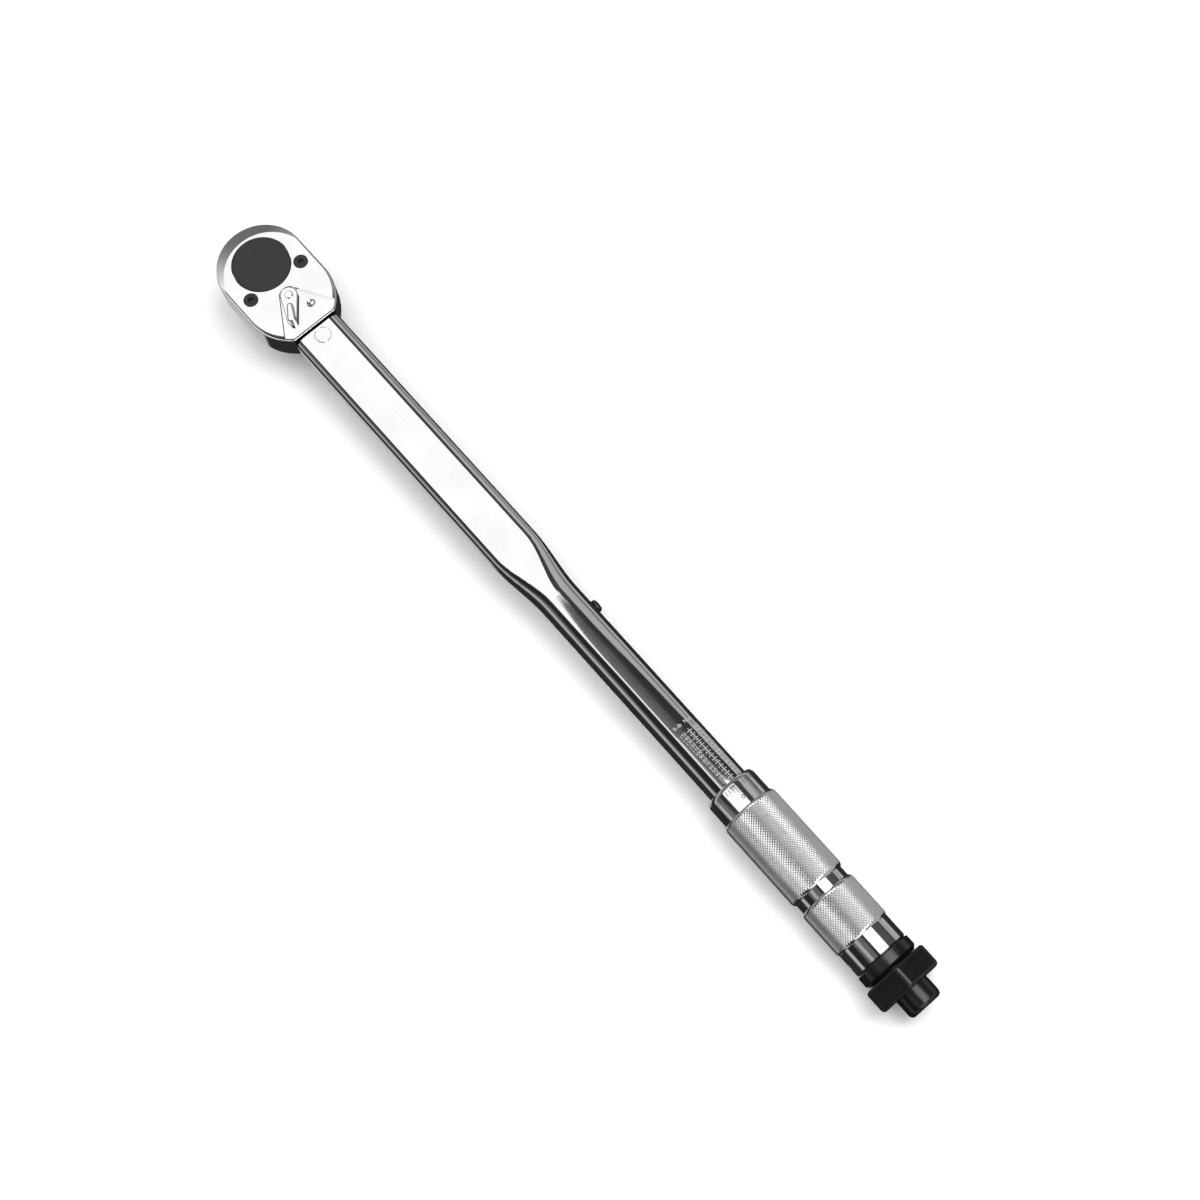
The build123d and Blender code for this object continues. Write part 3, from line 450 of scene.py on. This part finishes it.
def sheet(name, x0, x1, y0, y1, height, cells=1):
    """A flat sheet, or one that follows the floor when the height is a function of x."""
    level = height if callable(height) else (lambda _: height)
    points, faces = [], []
    for i in range(cells + 1):
        for j in range(cells + 1):
            x = x0 + (x1 - x0) * i / cells
            points.append((x, y0 + (y1 - y0) * j / cells, level(x)))
    for i in range(cells):
        for j in range(cells):
            a = i * (cells + 1) + j
            faces.append((a, a + cells + 1, a + cells + 2, a + 1))
    mesh = bpy.data.meshes.new(name)
    mesh.from_pydata(points, [], faces)
    piece = link(bpy.data.objects.new(name, mesh))
    return piece


floor = sheet("floor", *FLOOR_SPAN, floor_height, FLOOR_CELLS)
paper, n = new_material("floor_paper")
place = n.add("ShaderNodeTexCoord").outputs["Object"]
tone = n.ramp(n.noise(place, 6.0, 3.0), [(0.3, 0.955), (0.7, 0.97)])
finish_material(n, tone, 0.32, n.noise(place, 900.0, 2.0), 0.0, 0.02, 0.0001)
floor.data.materials.append(paper)
floor.visible_glossy = False


# ---------------------------------------------------------------- light
def across_angle(n, y, z):
    """The direction's angle about the wrench's length, -90 to 90 degrees as 0 to 1."""
    angle = n.math("ARCTAN2", y, z)
    return n.spread(angle, -math.pi / 2, math.pi / 2, 0.0, 1.0)


def bands(rows):
    """Ramp stops from (angle from straight up towards +Y in degrees, level) rows."""
    return [((angle + 90.0) / 180.0, level) for angle, level in rows]


world = bpy.data.worlds.new("studio")
bpy.context.scene.world = world
world.use_nodes = True
n = Nodes(world.node_tree)
way = n.add(
    "ShaderNodeSeparateXYZ", {"Vector": n.add("ShaderNodeTexCoord").outputs["Generated"]}
).outputs
above = n.math("MAXIMUM", way[2], 0.001)
sky = n.ramp(
    across_angle(n, way[1], above),
    bands(
        [
            (-90, 0.02),
            (-50, 0.02),
            (-46, 1.15),
            (15, 1.15),
            (19, 0.05),
            (36, 0.05),
            (42, 0.48),
            (90, 0.40),
        ]
    ),
)
lean = n.math("ARCTAN2", n.math("MULTIPLY", way[0], -1.0), above)
end_wall = n.spread(lean, math.radians(40), math.radians(60), 0.0, 1.0)
mixed = n.add(
    "ShaderNodeMix",
    {0: end_wall, 6: sky, 7: (0.17, 0.17, 0.17, 1.0)},
    data_type="RGBA",
).outputs[2]
# below the horizon: dark, but for a pale patch that the side of the flat tube picks up
below = n.math("MAXIMUM", n.math("MULTIPLY", way[2], -1.0), 0.001)
patch = n.ramp(
    across_angle(n, way[1], below),
    bands([(-90, 0.02), (-36, 0.02), (-28, 0.5), (6, 0.5), (12, 0.04), (90, 0.04)]),
)
toward_tip = n.spread(way[0], -0.31, -0.26, 1.0, 0.0)
under = n.add(
    "ShaderNodeMix",
    {0: toward_tip, 6: (0.025, 0.025, 0.025, 1.0), 7: patch},
    data_type="RGBA",
).outputs[2]
low = n.add(
    "ShaderNodeMix",
    {0: n.spread(way[2], -0.34, -0.16, 0.0, 1.0), 6: under, 7: (0.5, 0.5, 0.5, 1.0)},
    data_type="RGBA",
).outputs[2]
whole = n.add(
    "ShaderNodeMix",
    {0: n.spread(way[2], -0.02, 0.0, 1.0, 0.0), 6: mixed, 7: low},
    data_type="RGBA",
).outputs[2]
background = n.add("ShaderNodeBackground", {"Color": whole, "Strength": 1.0})
n.add("ShaderNodeOutputWorld", {"Surface": background.outputs[0]})


def card(name, x0, x1, y0, y1, height, stops, strip=None):
    """A softbox or a flag that shows only in the reflections."""
    piece = sheet(name, x0, x1, y0, y1, height)
    for ray in ("camera", "diffuse", "transmission", "shadow", "volume_scatter"):
        setattr(piece, f"visible_{ray}", False)
    material, n = new_material(name)
    at = n.add(
        "ShaderNodeSeparateXYZ", {"Vector": n.add("ShaderNodeTexCoord").outputs["Object"]}
    ).outputs
    angle = n.math("ARCTAN2", at[1], height - TUBE_AXIS_Z * MM)
    share = n.spread(angle, -math.pi / 2, math.pi / 2, 0.0, 1.0)
    level = n.ramp(share, bands(stops))
    if strip:
        start, rate, brightness = strip
        edge = n.math("MULTIPLY", n.math("SUBTRACT", at[0], x0), rate / 180.0)
        past = n.math("SUBTRACT", share, n.math("ADD", edge, (start + 90.0) / 180.0))
        lit = n.spread(past, 0.0, 0.015, 0.0, 1.0)
        level = n.add(
            "ShaderNodeMix",
            {0: lit, 6: level, 7: (brightness, brightness, brightness, 1.0)},
            data_type="RGBA",
        ).outputs[2]
    glow = n.add("ShaderNodeEmission", {"Color": level, "Strength": 1.0})
    n.add("ShaderNodeOutputMaterial", {"Surface": glow.outputs[0]})
    piece.data.materials.append(material)
    return piece


CARD_HEIGHT = 0.60
CARD_REACH = (-1.1, 2.2)
ROUND_CARD = (0.056, 0.2405)
HANDLE_CARD_END = 0.8
card(
    "flag_over_tube",
    *ROUND_CARD,
    *CARD_REACH,
    CARD_HEIGHT,
    [(-90, 0.02), (-48, 0.02), (-46, 1.0), (-40, 1.0), (-38, 0.17), (0, 0.09), (26, 0.03), (90, 0.03)],
    strip=(50.0, 560.0, 0.42),
)
card(
    "softbox_over_handle",
    ROUND_CARD[1],
    HANDLE_CARD_END,
    *CARD_REACH,
    CARD_HEIGHT,
    [(-90, 0.04), (-66, 0.04), (-52, 0.14), (-47, 0.42), (-38, 0.42), (-34, 0.13)]
    + [(-20, 0.13), (-15, 0.02), (-8, 0.02), (-4, 2.9), (30, 2.9), (36, 0.08), (60, 0.08), (90, 0.05)],
)

LAMP_TARGET = Vector((0.2, 0.0, 0.0))
lamps = [
    ("lamp_high", (0.30, 0.55, 1.5), 1.1, 15.0),
    ("lamp_fill", (-0.2, -0.5, 1.7), 1.6, 8.0),
]
for name, place, size, power in lamps:
    lamp = bpy.data.lights.new(name, "AREA")
    lamp.shape = "DISK"
    lamp.size = size
    lamp.energy = power
    holder = link(bpy.data.objects.new(name, lamp))
    holder.location = place
    aim = LAMP_TARGET - holder.location
    holder.rotation_euler = aim.to_track_quat("-Z", "Y").to_euler()
    holder.visible_glossy = False

# ---------------------------------------------------------------- camera
CAMERA_PLACE = Vector((0.4402, -0.1282, 0.8489))
CAMERA_TARGET = Vector((0.2232, 0.0132, 0.0105))
CAMERA_UP = Vector((-0.716, 0.633, 0.292))

camera = bpy.data.cameras.new("camera")
camera.lens = 60.0
camera.sensor_width = 36.0
camera.clip_start = 0.01
camera.clip_end = 20.0
eye = link(bpy.data.objects.new("camera", camera))
eye.location = CAMERA_PLACE
look = (CAMERA_TARGET - eye.location).normalized()
up = CAMERA_UP
side = look.cross(up).normalized()
up = side.cross(look)
turn = eye.matrix_world.copy()
for row in range(3):
    turn[row][0], turn[row][1], turn[row][2] = side[row], up[row], -look[row]
    turn[row][3] = eye.location[row]
eye.matrix_world = turn
bpy.context.scene.camera = eye
bpy.context.scene.view_settings.view_transform = "Standard"
bpy.context.scene.view_settings.look = "None"
